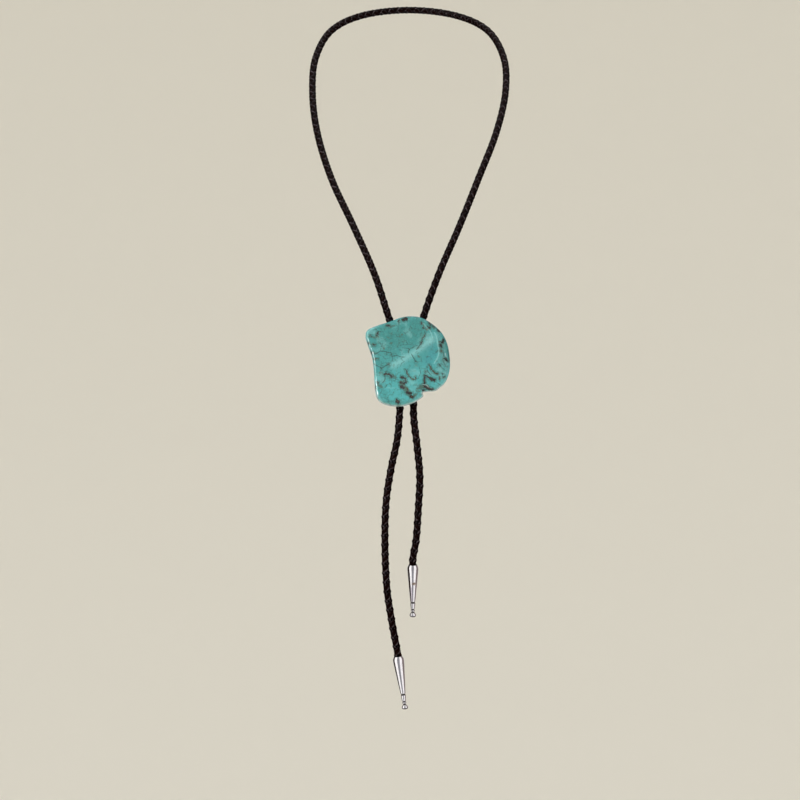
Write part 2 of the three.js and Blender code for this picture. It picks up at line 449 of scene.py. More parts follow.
def makeTip(name, cordEnd, cordBefore):
    cordEnd, cordBefore = Vector(cordEnd), Vector(cordBefore)
    upward = (cordBefore - cordEnd).normalized()
    mouth = cordEnd + upward * (tip["socketDepth"] - tip["cordStop"])
    radius = tip["diameter"] / 2
    bpy.ops.mesh.primitive_circle_add(vertices=tip["sides"], radius=tip["socketRadius"], fill_type="NGON",
                                      location=(0, 0, -tip["socketDepth"]))
    piece = bpy.context.object
    piece.name = name
    applyPlace(piece)
    editAll(piece, "FACE")
    rows = [(-tip["mouthTaper"], tip["socketRadius"]), (0, tip["mouthRadius"])]
    rows.append((0, tip["mouthRadius"] + tip["lip"]))
    rows += [(-along * tip["length"], share * radius) for along, share in tip["profile"]]
    height, reach = -tip["socketDepth"], tip["socketRadius"]
    bpy.ops.mesh.delete(type="ONLY_FACE")
    bpy.ops.mesh.select_all(action="SELECT")
    for nextHeight, nextReach in rows:
        bpy.ops.mesh.extrude_edges_move(TRANSFORM_OT_translate={"value": (0, 0, nextHeight - height)})
        ratio = nextReach / reach
        bpy.ops.transform.resize(value=(ratio, ratio, 1), center_override=(0, 0, 0))
        height, reach = nextHeight, nextReach
    bpy.ops.mesh.edge_face_add()
    leaveEdit()
    closeFloor(piece)
    applyModifier(piece, "SUBSURF", levels=1, render_levels=1)
    drawTurned(piece)
    lean = Vector((0, 0, 1)).rotation_difference(upward)
    piece.data.transform(Matrix.Translation(mouth) @ lean.to_matrix().to_4x4())
    smoothShade(piece, 60)
    return piece


# The socket's floor, as a face over the ring that is still open.
def closeFloor(piece):
    editAll(piece, "EDGE")
    bpy.ops.mesh.select_all(action="DESELECT")
    bpy.ops.mesh.select_non_manifold()
    bpy.ops.mesh.edge_face_add()
    bpy.ops.mesh.select_all(action="SELECT")
    bpy.ops.mesh.normals_make_consistent(inside=False)
    leaveEdit()


# How far round and how far along each corner is, for the marks that turning leaves.
def drawTurned(piece):
    points = pointsOf(piece)
    around = np.arctan2(points[:, 1], points[:, 0]) / (2 * math.pi) + 0.5
    along = -points[:, 2] / tip["length"]
    paint(piece, "around", around)
    paint(piece, "along", along)
    paint(piece, "groove", sum(np.exp(-((along - place) / reach) ** 2) for place, reach in tip["grooves"]))


tipLong = makeTip("long_tail_tip", cord["route"][0], cord["route"][1])
tipShort = makeTip("short_tail_tip", cord["route"][-1], cord["route"][-2])
print("tips: turned,", len(tipLong.data.polygons), "faces each")


# Slide: a plate soldered to two tubes, leaning back with the chest

slide = {
    "middle": (-0.0012, -0.1437, -0.2334),
    "lean": 12,  # degrees
    "spacing": 0.008,
    "tubeLength": 0.014,
    "boreRadius": 0.00265,
    "tubeRadius": 0.00345,
    "plateWidth": 0.026,
    "plateHeight": 0.020,
    "plateThickness": 0.0012,
    "plateCorner": 0.005,
    "solderDepth": 0.0004,
    "edge": 0.00015,
    "solder": 0.0006,
    "tubeSides": 64,
    "cornerSteps": 10,
    "solderSteps": 5,
    "edgeSteps": 2,
}
slide["plateBack"] = slide["tubeRadius"] - slide["solderDepth"]
slideSpace = Matrix.Translation(slide["middle"]) @ Matrix.Rotation(math.radians(-slide["lean"]), 4, "X")


def slideTube(radius, length, side):
    bpy.ops.mesh.primitive_cylinder_add(vertices=slide["tubeSides"], radius=radius, depth=length,
                                        location=(side * slide["spacing"] / 2, 0, 0))
    tube = bpy.context.object
    applyPlace(tube)
    return tube


def combine(piece, other, operation):
    applyModifier(piece, "BOOLEAN", operation=operation, object=other, solver="EXACT")
    bpy.data.objects.remove(other)


def makeSlide():
    depth = slide["plateBack"] + slide["plateThickness"] / 2
    plate = (slide["plateWidth"], slide["plateThickness"], slide["plateHeight"])
    bpy.ops.mesh.primitive_cube_add(size=1, location=(0, -depth, 0), scale=plate)
    piece = bpy.context.object
    piece.name = "slide_clip"
    applyPlace(piece)
    editAll(piece, "EDGE")
    leaveEdit()
    for edge in piece.data.edges:
        a, b = (piece.data.vertices[v].co for v in edge.vertices)
        edge.select = abs(a.y - b.y) > slide["plateThickness"] / 2
    bpy.ops.object.mode_set(mode="EDIT")
    bpy.ops.mesh.bevel(offset=slide["plateCorner"], segments=slide["cornerSteps"], profile=0.5)
    leaveEdit()
    for side in (-1, 1):
        combine(piece, slideTube(slide["tubeRadius"], slide["tubeLength"], side), "UNION")
    for side in (-1, 1):
        combine(piece, slideTube(slide["boreRadius"], slide["tubeLength"] * 2, side), "DIFFERENCE")
    fillSolder(piece)
    applyModifier(piece, "BEVEL", width=slide["edge"], segments=slide["edgeSteps"], limit_method="ANGLE",
                  angle_limit=math.radians(40), harden_normals=False)
    piece.data.transform(slideSpace)
    smoothShade(piece, 35)
    return piece


# The solder: a hollow fillet along each line where a tube meets the plate.
def fillSolder(piece):
    offset = math.sqrt(slide["tubeRadius"] ** 2 - slide["plateBack"] ** 2)
    selectOnly(piece)
    bpy.ops.object.mode_set(mode="EDIT")
    bpy.ops.mesh.select_mode(type="EDGE")
    bpy.ops.mesh.select_all(action="DESELECT")
    leaveEdit()
    for edge in piece.data.edges:
        a, b = (piece.data.vertices[v].co for v in edge.vertices)
        onPlate = max(abs(a.y + slide["plateBack"]), abs(b.y + slide["plateBack"])) < 0.01 * mm
        beside = abs(abs(abs(a.x) - slide["spacing"] / 2) - offset) < 0.05 * mm
        edge.select = onPlate and beside and abs(a.z - b.z) > slide["tubeLength"] / 2
    bpy.ops.object.mode_set(mode="EDIT")
    bpy.ops.mesh.bevel(offset=slide["solder"], segments=slide["solderSteps"], profile=0.5)
    leaveEdit()


slideClip = makeSlide()
print("slide: soldered,", len(slideClip.data.polygons), "faces")


# Stone: a free-form slab with a rounded edge, a crescent ridge, and veins of dark matrix

stone = {
    "width": 0.051,
    "height": 0.0556,
    "thickness": 0.0065,
    "rim": 0.0026,  # how far in the rounded edge reaches
    "backInset": 0.3,  # of the rim: how far in the back's own edge is
    "leftRim": 2.0,  # how many times tighter it is on the left
    "raise": 0.0023,
    "shoulderDrop": 0.0013,
    "gap": 0.0003,  # behind it, to the slide's plate
    "pointsPerKnot": 12,
    # shares of half the width and half the height
    "outline": [
        (-1.0, 0.56), (-0.96, 0.68), (-0.72, 0.79), (-0.42, 0.88), (-0.16, 0.97), (0.1, 1.0), (0.34, 0.96),
        (0.58, 0.83), (0.8, 0.64), (0.93, 0.41), (0.99, 0.14), (1.0, -0.14), (0.945, -0.36), (0.86, -0.5),
        (0.79, -0.56), (0.67, -0.645), (0.46, -0.67), (0.345, -0.69), (0.37, -0.765), (0.31, -0.82),
        (0.13, -0.92), (-0.12, -0.99), (-0.37, -0.99), (-0.59, -0.935), (-0.72, -0.83), (-0.78, -0.55),
        (-0.8, -0.22), (-0.85, 0.11), (-0.945, 0.36),
    ],
    # from the back to the face: how far in, as a share of the rim, and how high, as a share of the thickness
    "edge": [
        (0.12, 0.02), (0.03, 0.06), (0.0, 0.12), (-0.02, 0.22), (-0.02, 0.34), (0.0, 0.46), (0.05, 0.57),
        (0.14, 0.67), (0.27, 0.77), (0.45, 0.855), (0.66, 0.91), (0.86, 0.94), (1.0, 0.95),
    ],
    "faceRings": 54,
    "chartHeight": 0.3,  # the height, as a share of the thickness, at which the veins' chart is true
    "refineWithin": 0.32,  # mm from a vein's edge within which faces are halved
    "finestFace": 0.10,  # square mm, below which a face is left as it is
    "faceEdge": 0.95,  # the face's height at the rim, as a share of the thickness
    # how deep a vein lies below the polish, and how soft its bank is, in mm
    "sunk": {"dark": (0.09, 0.4), "brown": (0.06, 0.3), "crack": (0.05, 0.2)},
    "farAway": 5.0,  # mm, past which a vein has no effect
    "ridge": {"across": 0.02, "up": 0.26, "radius": 0.71, "softness": 0.3},
}
stone["back"] = slide["plateBack"] + slide["plateThickness"] + stone["gap"]
stoneSpace = slideSpace @ Matrix.Translation((0, -stone["back"], stone["raise"]))

# Low relief on the face, in shares: each line is a crest or a hollow, with its height and half width in mm
innerCrest = [(0.373, 0.844), (0.446, 0.76), (0.509, 0.70), (0.545, 0.65), (0.572, 0.583), (0.59, 0.515)]
mainCrest = [(0.636, 0.633), (0.672, 0.574), (0.69, 0.507), (0.704, 0.44), (0.717, 0.355), (0.736, 0.271),
             (0.736, 0.187), (0.727, 0.12), (0.699, 0.061), (0.663, 0.01), (0.627, -0.049)]
paleBand = [(0.55, 0.47), (0.30, 0.29), (0.08, 0.14), (-0.14, 0.01), (-0.334, -0.09)]
faceRelief = [
    (0.50, 3.6, paleBand),
    (0.30, 1.0, innerCrest),
    (0.30, 0.9, mainCrest),
    (-0.35, 6.5, [(-0.30, 0.45), (0.00, 0.52), (0.20, 0.58)]),
    (-0.30, 3.0, [(0.52, 0.28), (0.50, 0.10), (0.40, -0.05)]),
    (0.22, 3.5, [(-0.60, -0.30), (-0.30, -0.42), (0.00, -0.50)]),
    (-0.25, 2.2, [(0.40, -0.56), (0.20, -0.66), (0.05, -0.72)]),
    (0.18, 1.6, [(0.66, -0.12), (0.80, -0.28), (0.72, -0.46)]),
]

# The veins and spots, and the crest lines that carry a painted highlight, in shares, by what they are: how
# wide each is in mm, and the line that it follows
veins = {
    "crack": [
        (0.50, [(0.405, 0.663), (0.418, 0.608), (0.40, 0.558), (0.364, 0.524), (0.341, 0.499),
            (0.337, 0.431), (0.314, 0.398), (0.264, 0.326), (0.21, 0.263)]),
        (0.32, [(0.264, 0.326), (0.237, 0.347), (0.183, 0.339), (0.119, 0.305), (0.056, 0.271),
            (0.024, 0.238), (0.02, 0.19)]),
        (0.22, [(-0.18, 0.355), (-0.098, 0.372), (0.029, 0.381), (0.165, 0.355)]),
        (0.28, [(-0.134, 0.305), (-0.062, 0.292), (0.0, 0.288), (0.047, 0.271)]),
        (0.28, [(-0.03, 0.465), (-0.017, 0.414), (0.015, 0.381)]),
        (0.42, [(0.092, 0.153), (0.128, 0.086), (0.156, 0.044), (0.183, -0.002)]),
        (0.40, [(0.849, 0.204), (0.853, 0.111)]), (0.35, [(0.944, 0.271), (0.976, 0.103), (0.98, -0.02)]),
        (0.38, [(0.454, -0.113), (0.468, -0.197), (0.491, -0.248), (0.527, -0.282), (0.563, -0.311)]),
        (0.28, [(0.282, -0.147), (0.30, -0.223), (0.31, -0.265), (0.264, -0.332), (0.246, -0.391)]),
        (0.42, [(-0.828, -0.042), (-0.765, -0.079), (-0.702, -0.105), (-0.62, -0.151), (-0.557, -0.122),
            (-0.502, -0.088), (-0.448, -0.067)]),
        (0.24, [(-0.366, 0.089), (-0.348, 0.055), (-0.375, -0.004)]),
        (0.40, [(-0.539, -0.30), (-0.53, -0.383), (-0.548, -0.433), (-0.584, -0.467)]),
        (0.38, [(-0.484, -0.517), (-0.52, -0.576)]),
        (0.24, [(-0.37, -0.40), (-0.375, -0.50), (-0.40, -0.585)]),
        (0.32, [(-0.76, 0.742), (-0.738, 0.70), (-0.702, 0.671), (-0.647, 0.658), (-0.575, 0.658)]),
        (0.40, [(-0.792, 0.161), (-0.738, 0.178), (-0.683, 0.203), (-0.643, 0.229), (-0.611, 0.224),
            (-0.529, 0.22), (-0.466, 0.195), (-0.393, 0.187), (-0.375, 0.136), (-0.366, 0.107),
            (-0.303, 0.123), (-0.248, 0.128), (-0.185, 0.102), (-0.085, 0.086)]),
        (0.24, [(-0.643, 0.229), (-0.629, 0.304), (-0.62, 0.347), (-0.656, 0.422)]),
        (0.30, [(0.64, -0.43), (0.727, -0.488), (0.79, -0.53)]),
        (0.28, [(0.754, -0.079), (0.781, -0.113), (0.826, -0.147), (0.90, -0.20)]),
        (0.24, [(0.66, -0.155), (0.717, -0.122)]),
        (0.26, [(-0.076, -0.004), (-0.14, -0.046), (-0.185, -0.13)]),
        (0.26, [(-0.79, -0.29), (-0.702, -0.315)]),
    ],
    "dark": [
        (2.12, [(-0.095, 0.925), (-0.035, 0.95)]), (1.10, [(0.332, 0.851), (0.338, 0.845)]),
        (0.95, [(0.50, 0.855), (0.55, 0.815)]), (0.85, [(0.595, 0.785), (0.63, 0.762)]),
        (1.10, [(0.858, 0.494), (0.835, 0.431), (0.81, 0.415), (0.781, 0.427)]),
        (1.33, [(0.775, 0.355), (0.81, 0.318)]), (1.18, [(0.885, 0.065), (0.94, 0.025)]),
        (1.00, [(0.409, -0.311), (0.473, -0.349), (0.545, -0.387)]),
        (1.60, [(0.53, -0.383), (0.60, -0.399), (0.64, -0.404)]),
        (1.25, [(0.409, -0.311), (0.40, -0.366), (0.40, -0.433), (0.396, -0.484)]),
        (1.57, [(0.40, -0.534), (0.455, -0.576), (0.509, -0.595), (0.58, -0.61)]),
        (1.18, [(0.375, -0.635), (0.345, -0.64)]), (1.41, [(-0.143, -0.349), (-0.08, -0.374)]),
        (1.02, [(-0.053, -0.40), (-0.053, -0.45)]), (1.02, [(-0.18, -0.467), (-0.125, -0.484)]),
        (1.18, [(-0.098, -0.492), (-0.03, -0.475)]), (1.88, [(-0.15, -0.56), (-0.105, -0.592)]),
        (1.41, [(-0.026, -0.69), (0.03, -0.702), (0.092, -0.711)]), (1.96, [(0.08, -0.77), (0.11, -0.785)]),
        (0.94, [(-0.03, -0.205), (-0.022, -0.24)]), (1.02, [(-0.548, -0.298), (-0.493, -0.26)]),
        (1.41, [(-0.448, -0.29), (-0.375, -0.34)]), (0.86, [(-0.705, -0.46), (-0.70, -0.475)]),
        (0.78, [(-0.77, -0.575), (-0.77, -0.595)]), (2.27, [(-0.25, -0.87), (-0.225, -0.90)]),
        (0.94, [(-0.225, -0.91), (-0.215, -0.947)]), (1.18, [(-0.49, 0.795), (-0.439, 0.784)]),
        (0.94, [(-0.702, 0.624), (-0.729, 0.582)]), (0.86, [(-0.878, 0.568), (-0.868, 0.562)]),
        (0.78, [(-0.935, 0.405), (-0.93, 0.39)]), (0.78, [(-0.874, 0.203), (-0.856, 0.17)]),
        (0.86, [(-0.81, 0.358), (-0.775, 0.37)]), (0.71, [(-0.212, 0.896), (-0.205, 0.89)]),
        (0.78, [(-0.452, -0.069), (-0.443, -0.065)]), (0.71, [(-0.622, -0.155), (-0.618, -0.15)]),
        (0.78, [(0.36, 0.755), (0.385, 0.748)]), (0.94, [(0.49, 0.765), (0.52, 0.745)]),
        (0.94, [(0.72, 0.69), (0.745, 0.665)]), (0.78, [(0.335, 0.42), (0.31, 0.395)]),
        (0.71, [(0.181, -0.004), (0.187, -0.008)]), (0.71, [(0.818, -0.262), (0.828, -0.27)]),
        (0.78, [(0.85, -0.325), (0.857, -0.34)]), (0.66, [(0.752, -0.077), (0.757, -0.082)]),
        (0.66, [(0.42, -0.229), (0.427, -0.233)]),
    ],
    "brown": [
        (0.71, [(0.518, -0.088), (0.545, -0.147), (0.572, -0.189), (0.618, -0.231), (0.663, -0.269),
            (0.717, -0.265)]),
        (0.66, [(0.755, -0.335), (0.751, -0.385)]),
        (0.52, [(-0.02, -0.25), (0.015, -0.315), (0.047, -0.345), (0.092, -0.383), (0.119, -0.399),
            (0.165, -0.399), (0.192, -0.383), (0.183, -0.349)]),
        (0.71, [(0.473, -0.568), (0.536, -0.588)]), (0.89, [(0.0, -0.61), (0.012, -0.64)]),
        (0.75, [(0.09, -0.775), (0.105, -0.785)]), (0.71, [(-0.245, -0.872), (-0.232, -0.892)]),
        (0.43, [(-0.801, 0.047), (-0.702, 0.06)]), (0.57, [(0.785, 0.23), (0.81, 0.215)]),
        (0.39, [(0.40, 0.59), (0.385, 0.54), (0.35, 0.505)]), (0.47, [(0.54, -0.385), (0.575, -0.398)]),
        (0.43, [(0.40, -0.40), (0.398, -0.45)]), (0.47, [(-0.065, 0.93), (-0.045, 0.94)]),
        (0.38, [(-0.815, 0.205), (-0.805, 0.19)]),
    ],
    "pale": [
        (0.36, [(0.36, -0.508), (0.436, -0.512), (0.49, -0.556)]),
        (0.24, [(0.32, -0.628), (0.335, -0.632)]), (0.26, [(0.35, -0.66), (0.385, -0.668)]),
        (0.29, [(0.895, 0.18), (0.908, 0.111)]), (0.29, [(0.881, 0.02), (0.908, -0.02)]),
        (0.20, [(-0.445, 0.768), (-0.43, 0.766)]), (0.20, [(0.54, -0.578), (0.575, -0.588)]),
        (0.17, [(0.47, 0.72), (0.48, 0.705)]),
    ],
    "light": [
        (4.6, [(-0.65, -0.36), (-0.64, -0.38)]), (5.0, [(0.18, -0.22), (0.22, -0.24)]),
        (4.0, [(0.78, -0.20), (0.83, -0.26)]), (3.0, [(0.46, 0.50), (0.52, 0.44)]),
    ],
    # The crest lines: a painted highlight along each crescent crest.
    "crestHighlight": [
        (0.55, innerCrest), (0.70, mainCrest),
    ],
    "moss": [
        (2.0, [(0.24, -0.60), (0.31, -0.55)]), (1.4, [(0.20, -0.72), (0.14, -0.755)]),
        (1.2, [(0.22, -0.64), (0.27, -0.66)]), (1.8, [(-0.345, -0.345), (-0.31, -0.345)]),
        (2.2, [(-0.68, -0.53), (-0.62, -0.56)]), (1.0, [(-0.756, 0.545), (-0.801, 0.528)]),
        (0.9, [(-0.69, 0.55), (-0.74, 0.545)]), (1.0, [(-0.393, 0.776), (-0.321, 0.793)]),
        (1.2, [(-0.64, -0.25), (-0.60, -0.26)]), (0.9, [(0.78, 0.28), (0.79, 0.25)]),
        (0.8, [(-0.135, 0.60), (-0.13, 0.59)]), (0.8, [(-0.20, 0.552), (-0.19, 0.545)]),
        (0.9, [(-0.58, 0.29), (-0.57, 0.285)]), (0.9, [(0.48, 0.73), (0.46, 0.70)]),
        (0.9, [(-0.83, 0.375), (-0.81, 0.37)]), (1.1, [(0.25, 0.105), (0.28, 0.10)]),
        (0.8, [(-0.38, 0.633), (-0.385, 0.62)]), (0.8, [(-0.47, 0.54), (-0.46, 0.535)]),
        (0.8, [(-0.384, 0.414), (-0.402, 0.389)]), (1.2, [(-0.16, -0.45), (-0.10, -0.44)]),
        (1.0, [(-0.06, -0.65), (-0.03, -0.66)]), (2.6, [(-0.13, -0.50), (-0.04, -0.62), (0.06, -0.73)]),
        (2.2, [(0.30, -0.57), (0.42, -0.54), (0.50, -0.59)]), (1.2, [(-0.50, -0.28), (-0.42, -0.31)]),
    ],
}


def chartKnots(line):
    return np.array(line) * [stone["width"] / 2 / mm, stone["height"] / 2 / mm]


# The nearest distance, in mm, from each point of the face to a line of points given in shares.
def distanceTo(plan, line):
    knots = chartKnots(line)
    nearest = np.full(len(plan), np.inf)
    for a, b in zip(knots[:-1], knots[1:]):
        spanX, spanZ = b - a
        fromX = plan[:, 0] - a[0]
        fromZ = plan[:, 1] - a[1]
        share = np.clip((fromX * spanX + fromZ * spanZ) / (spanX ** 2 + spanZ ** 2), 0, 1)
        nearest = np.minimum(nearest, np.hypot(fromX - share * spanX, fromZ - share * spanZ))
    return nearest


# How far inside its nearest vein of a kind each point is, in mm. It is below 0 outside.
def insideVeins(plan, kind):
    deepest = np.full(len(plan), -stone["farAway"])
    for width, line in veins[kind]:
        knots = chartKnots(line)
        low, high = knots.min(axis=0) - stone["farAway"], knots.max(axis=0) + stone["farAway"]
        close = np.all((plan > low) & (plan < high), axis=1)
        deepest[close] = np.maximum(deepest[close], width / 2 - distanceTo(plan[close], line))
    return deepest


def outsideRidge(across, up):
    ridge = stone["ridge"]
    distance = np.hypot(across - ridge["across"], up - ridge["up"])
    return smooth((distance - ridge["radius"]) / ridge["softness"]) * smooth(across / ridge["softness"])


# On the left the rim turns over sooner, so the face is higher close to the edge there.
def leftRimRise(across, rimDistance):
    insets, heights = zip(*stone["edge"][5:])
    depths = np.array(insets) * stone["rim"] / mm
    sooner = np.interp(rimDistance * stone["leftRim"], depths, heights)
    rise = (sooner - np.interp(rimDistance, depths, heights)) * stone["thickness"]
    return rise * smooth(-across / 0.25 - 2.4)


def makeSlab():
    outline = curveThrough([(a, 0, u) for a, u in stone["outline"]], stone["pointsPerKnot"], closed=True)
    bpy.ops.mesh.primitive_circle_add(vertices=len(outline), radius=1, fill_type="NGON")
    piece = bpy.context.object
    piece.name = "turquoise_slab"
    half = np.array([stone["width"] / 2, 1, stone["height"] / 2])
    firstShare = 1 - stone["rim"] * stone["backInset"] * 2 / stone["width"]
    movePoints(piece, outline * half * firstShare)
    editAll(piece, "FACE")
    rows = [(1 - inset * stone["rim"] * 2 / stone["width"], height) for inset, height in stone["edge"]]
    rim = rows[-1][0]
    for ring in range(1, stone["faceRings"]):
        share = rim * (1 - ring / stone["faceRings"])
        rows.append((share, 1 - (1 - stone["faceEdge"]) * share * share))
    share, height = firstShare, 0
    for nextShare, nextHeight in rows:
        rise = (nextHeight - height) * stone["thickness"]
        bpy.ops.mesh.extrude_region_move(TRANSFORM_OT_translate={"value": (0, -rise, 0)})
        ratio = nextShare / share
        bpy.ops.transform.resize(value=(ratio, 1, ratio), center_override=(0, 0, 0))
        share, height = nextShare, nextHeight
    bpy.ops.mesh.merge(type="CENTER")
    leaveEdit()
    closeSeams(piece)
    refineNearVeins(piece)
    shapeFace(piece)
    piece.data.transform(stoneSpace)
    smoothShade(piece, 60)
    return piece


# The chart of veins is drawn as the slab looks from the front, so its lean is taken out, in mm.
def planOf(points):
    above = -points[:, 1] - stone["chartHeight"] * stone["thickness"]
    seenUp = points[:, 2] + above * math.tan(math.radians(slide["lean"]))
    return np.stack([points[:, 0], seenUp], axis=1) / mm


# The faces close to a vein are halved, so that its edge is drawn sharply.
def refineNearVeins(piece):
    editAll(piece, "FACE")
    leaveEdit()
    centres = np.zeros(len(piece.data.polygons) * 3)
    areas = np.zeros(len(piece.data.polygons))
    piece.data.polygons.foreach_get("center", centres)
    piece.data.polygons.foreach_get("area", areas)
    centres = centres.reshape(-1, 3)
    plan = planOf(centres)
    near = np.zeros(len(centres), bool)
    for kind in ("crack", "dark", "brown", "pale", "crestHighlight"):
        near |= np.abs(insideVeins(plan, kind)) < stone["refineWithin"]
    near &= areas > stone["finestFace"] * mm * mm
    near &= centres[:, 1] < -stone["thickness"] * 0.2
    piece.data.polygons.foreach_set("select", near)
    bpy.ops.object.mode_set(mode="EDIT")
    bpy.ops.mesh.subdivide(number_cuts=1, smoothness=0)
    leaveEdit()


def shapeFace(piece):
    points = pointsOf(piece)
    plan = planOf(points)
    across = points[:, 0] / (stone["width"] / 2)
    up = points[:, 2] / (stone["height"] / 2)
    onFace = smooth((-points[:, 1] / stone["thickness"] - 0.42) / 0.5)
    drop = stone["shoulderDrop"] * outsideRidge(across, up)
    for height, reach, line in faceRelief:
        drop -= height * mm * np.exp(-(distanceTo(plan, line) / reach) ** 2)
    kinds = ("crack", "dark", "brown", "pale", "moss", "crestHighlight", "light")
    kinds = {kind: insideVeins(plan, kind) for kind in kinds}
    for kind, (depth, bank) in stone["sunk"].items():
        drop += depth * mm * smooth(kinds[kind] / bank + 0.6)
    rimDistance = distanceTo(plan, stone["outline"] + stone["outline"][:1])
    drop -= leftRimRise(across, rimDistance) * (-points[:, 1] > 0.4 * stone["thickness"])
    points[:, 1] += drop * onFace
    movePoints(piece, points)
    for kind, depth in kinds.items():
        paint(piece, kind, depth)
    paint(piece, "polish", smooth((-points[:, 1] / stone["thickness"] - 0.03) / 0.1))
    paint(piece, "up", up)
    # A lighter band along the swell: partly the stone's paler tone and partly a painted highlight.
    paint(piece, "bandToneAndSheen", np.exp(-(distanceTo(plan, paleBand) / 2.1) ** 2) * onFace)
    # Painted shade in the valley between the pale band and the main crest, with a bluer, more saturated tone.
    valleyShade = [(0.55, 0.34), (0.60, 0.16), (0.50, 0.02)]
    paint(piece, "valleyShade", np.exp(-(distanceTo(plan, valleyShade) / 3.4) ** 2) * onFace)
    # Painted light: a pale line just inside the lower and left rim stands in for the rim's reflection and
    # lifts its shade.
    facing = np.maximum(smooth(-up / 0.5 - 0.3), 0.6 * smooth(-across / 0.3 - 2))
    paint(piece, "paintedRimLight", np.exp(-((rimDistance - 0.2) / 0.75) ** 2) * facing)
    # Painted shade: the shallow hollow at the upper left is coloured a darker green.
    hollowShade = [(-0.45, 0.50), (-0.10, 0.55), (0.15, 0.58)]
    paint(piece, "hollowShade", smooth(1.15 - distanceTo(plan, hollowShade) / 13.0) * onFace)


turquoiseSlab = makeSlab()
print("stone: shaped,", len(turquoiseSlab.data.polygons), "faces")


# Finishes

leather = {
    "dark": (0.0008, 0.0003, 0.0003),
    "warm": (0.0046, 0.0012, 0.0010),
    "worn": (0.013, 0.0052, 0.0045),
    # The rubbed tone: pale mauve grey for worn crests, and also a painted sheen in place of highlight arcs.
    "rubbedSheen": (0.088, 0.070, 0.078),
}


def leatherFinish():
    material, tree, surface = newMaterial("braided_leather")
    run = uvPlace(tree, "laceRun")
    streaks = noise(tree, uvPlace(tree, "laceRun", (2.2, 9.0, 1)), 2.4, 4, 0.6)
    patches = noise(tree, run, 0.45, 3, 0.55)
    grain = noise(tree, objectPlace(tree), 2600, 3, 0.6)
    crown = ranged(tree, painted(tree, "crown"), 0.86, 1.07)
    tone = colours(tree, ranged(tree, patches, 0.2, 0.6, 0.3, 1), leather["dark"], leather["warm"])
    tone = colours(tree, times(tree, ranged(tree, streaks, 0.45, 0.75), 0.6), tone, leather["worn"])
    # Painted shade: the low parts between the laces' crests, and the core, are darkened towards near black.
    tone = colours(tree, crown, leather["dark"], tone)
    # Painted sheen along with wear: the rubbed sides of the laces' crests are lightened to pale mauve grey,
    # in place of highlight arcs.
    wearAndSheen = ranged(tree, painted(tree, "rubbedSheen"), 0.45, 0.95)
    wearAndSheen = times(tree, wearAndSheen, ranged(tree, painted(tree, "crown"), 0.84, 1.0))
    wearAndSheen = times(tree, wearAndSheen, ranged(tree, streaks, 0.40, 0.58))
    tone = colours(tree, wearAndSheen, tone, leather["rubbedSheen"])
    setInput(tree, surface.inputs["Base Color"], tone)
    rough = ranged(tree, streaks, 0.3, 0.8, 0.18, 0.30)
    rough = plus(tree, rough, ranged(tree, crown, 0, 1, 0.08, 0.0))
    setInput(tree, surface.inputs["Roughness"], rough)
    surface.inputs["Specular IOR Level"].default_value = 0.09
    relief = bump(tree, grain, 0.35, 0.00006)
    relief = bump(tree, streaks, 0.45, 0.00010, relief)
    tree.links.new(relief, surface.inputs["Normal"])
    return material


metal = {
    "silver": (0.80, 0.785, 0.77),
    "silverDull": (0.56, 0.53, 0.52),
    "tarnish": (0.045, 0.034, 0.030),
    "rust": (0.24, 0.15, 0.08),
    "mauve": (0.36, 0.30, 0.36),
    "nickel": (0.62, 0.61, 0.58),
    "solder": (0.42, 0.42, 0.41),
}


def tipFinish(name, stain):
    material, tree, surface = newMaterial(name)
    along = painted(tree, "along")
    around = painted(tree, "around")
    place = objectPlace(tree)
    joined = tree.nodes.new("ShaderNodeCombineXYZ")
    setInput(tree, joined.inputs["X"], around)
    setInput(tree, joined.inputs["Y"], along)
    lathe = tree.nodes.new("ShaderNodeMapping")
    tree.links.new(joined.outputs["Vector"], lathe.inputs["Vector"])
    lathe.inputs["Scale"].default_value = (1.5, 170, 1)
    rings = noise(tree, lathe.outputs["Vector"], 1.0, 4, 0.65)
    smudge = noise(tree, place, 420, 4, 0.6)
    specks = noise(tree, place, 2400, 2, 0.5)
    tone = colours(tree, ranged(tree, smudge, 0.45, 0.8, 0.0, 0.45), metal["silver"], metal["silverDull"])
    groove = ranged(tree, painted(tree, "groove"), 0.08, 0.42)
    groove = times(tree, groove, ranged(tree, specks, 0.2, 0.6, 0.7, 1.0))
    tone = colours(tree, groove, tone, metal["tarnish"])
    rough = ranged(tree, smudge, 0.35, 0.8, 0.10, 0.22)
    rough = plus(tree, rough, times(tree, groove, 0.25))
    if stain:
        # Painted reflection: a mauve tint on the front-left, from about a third to seven tenths down the tip,
        # where the reflected bright band turns pinkish grey.
        reflectionTint = times(tree, ranged(tree, along, 0.36, 0.44, 0, 0.6), ranged(tree, around, 0.25, 0.21))
        reflectionTint = times(tree, reflectionTint, ranged(tree, along, 0.72, 0.68))
        tone = colours(tree, reflectionTint, tone, metal["mauve"])
        near = sums(tree, "SUBTRACT", along, stain["along"])
        near = sums(tree, "DIVIDE", near, stain["height"])
        side = sums(tree, "DIVIDE", sums(tree, "SUBTRACT", around, stain["around"]), stain["width"])
        reach = sums(tree, "SQRT", plus(tree, sums(tree, "POWER", near, 2.0), sums(tree, "POWER", side, 2.0)))
        ragged = plus(tree, reach, times(tree, specks, 1.1))
        rusty = ranged(tree, ragged, 1.55, 0.95)
        tone = colours(tree, times(tree, rusty, 0.8), tone, metal["rust"])
        rough = plus(tree, rough, times(tree, rusty, 0.35))
    setInput(tree, surface.inputs["Base Color"], tone)
    setInput(tree, surface.inputs["Roughness"], rough)
    surface.inputs["Metallic"].default_value = 1.0
    relief = bump(tree, rings, 0.12, 0.00003)
    tree.links.new(relief, surface.inputs["Normal"])
    return material


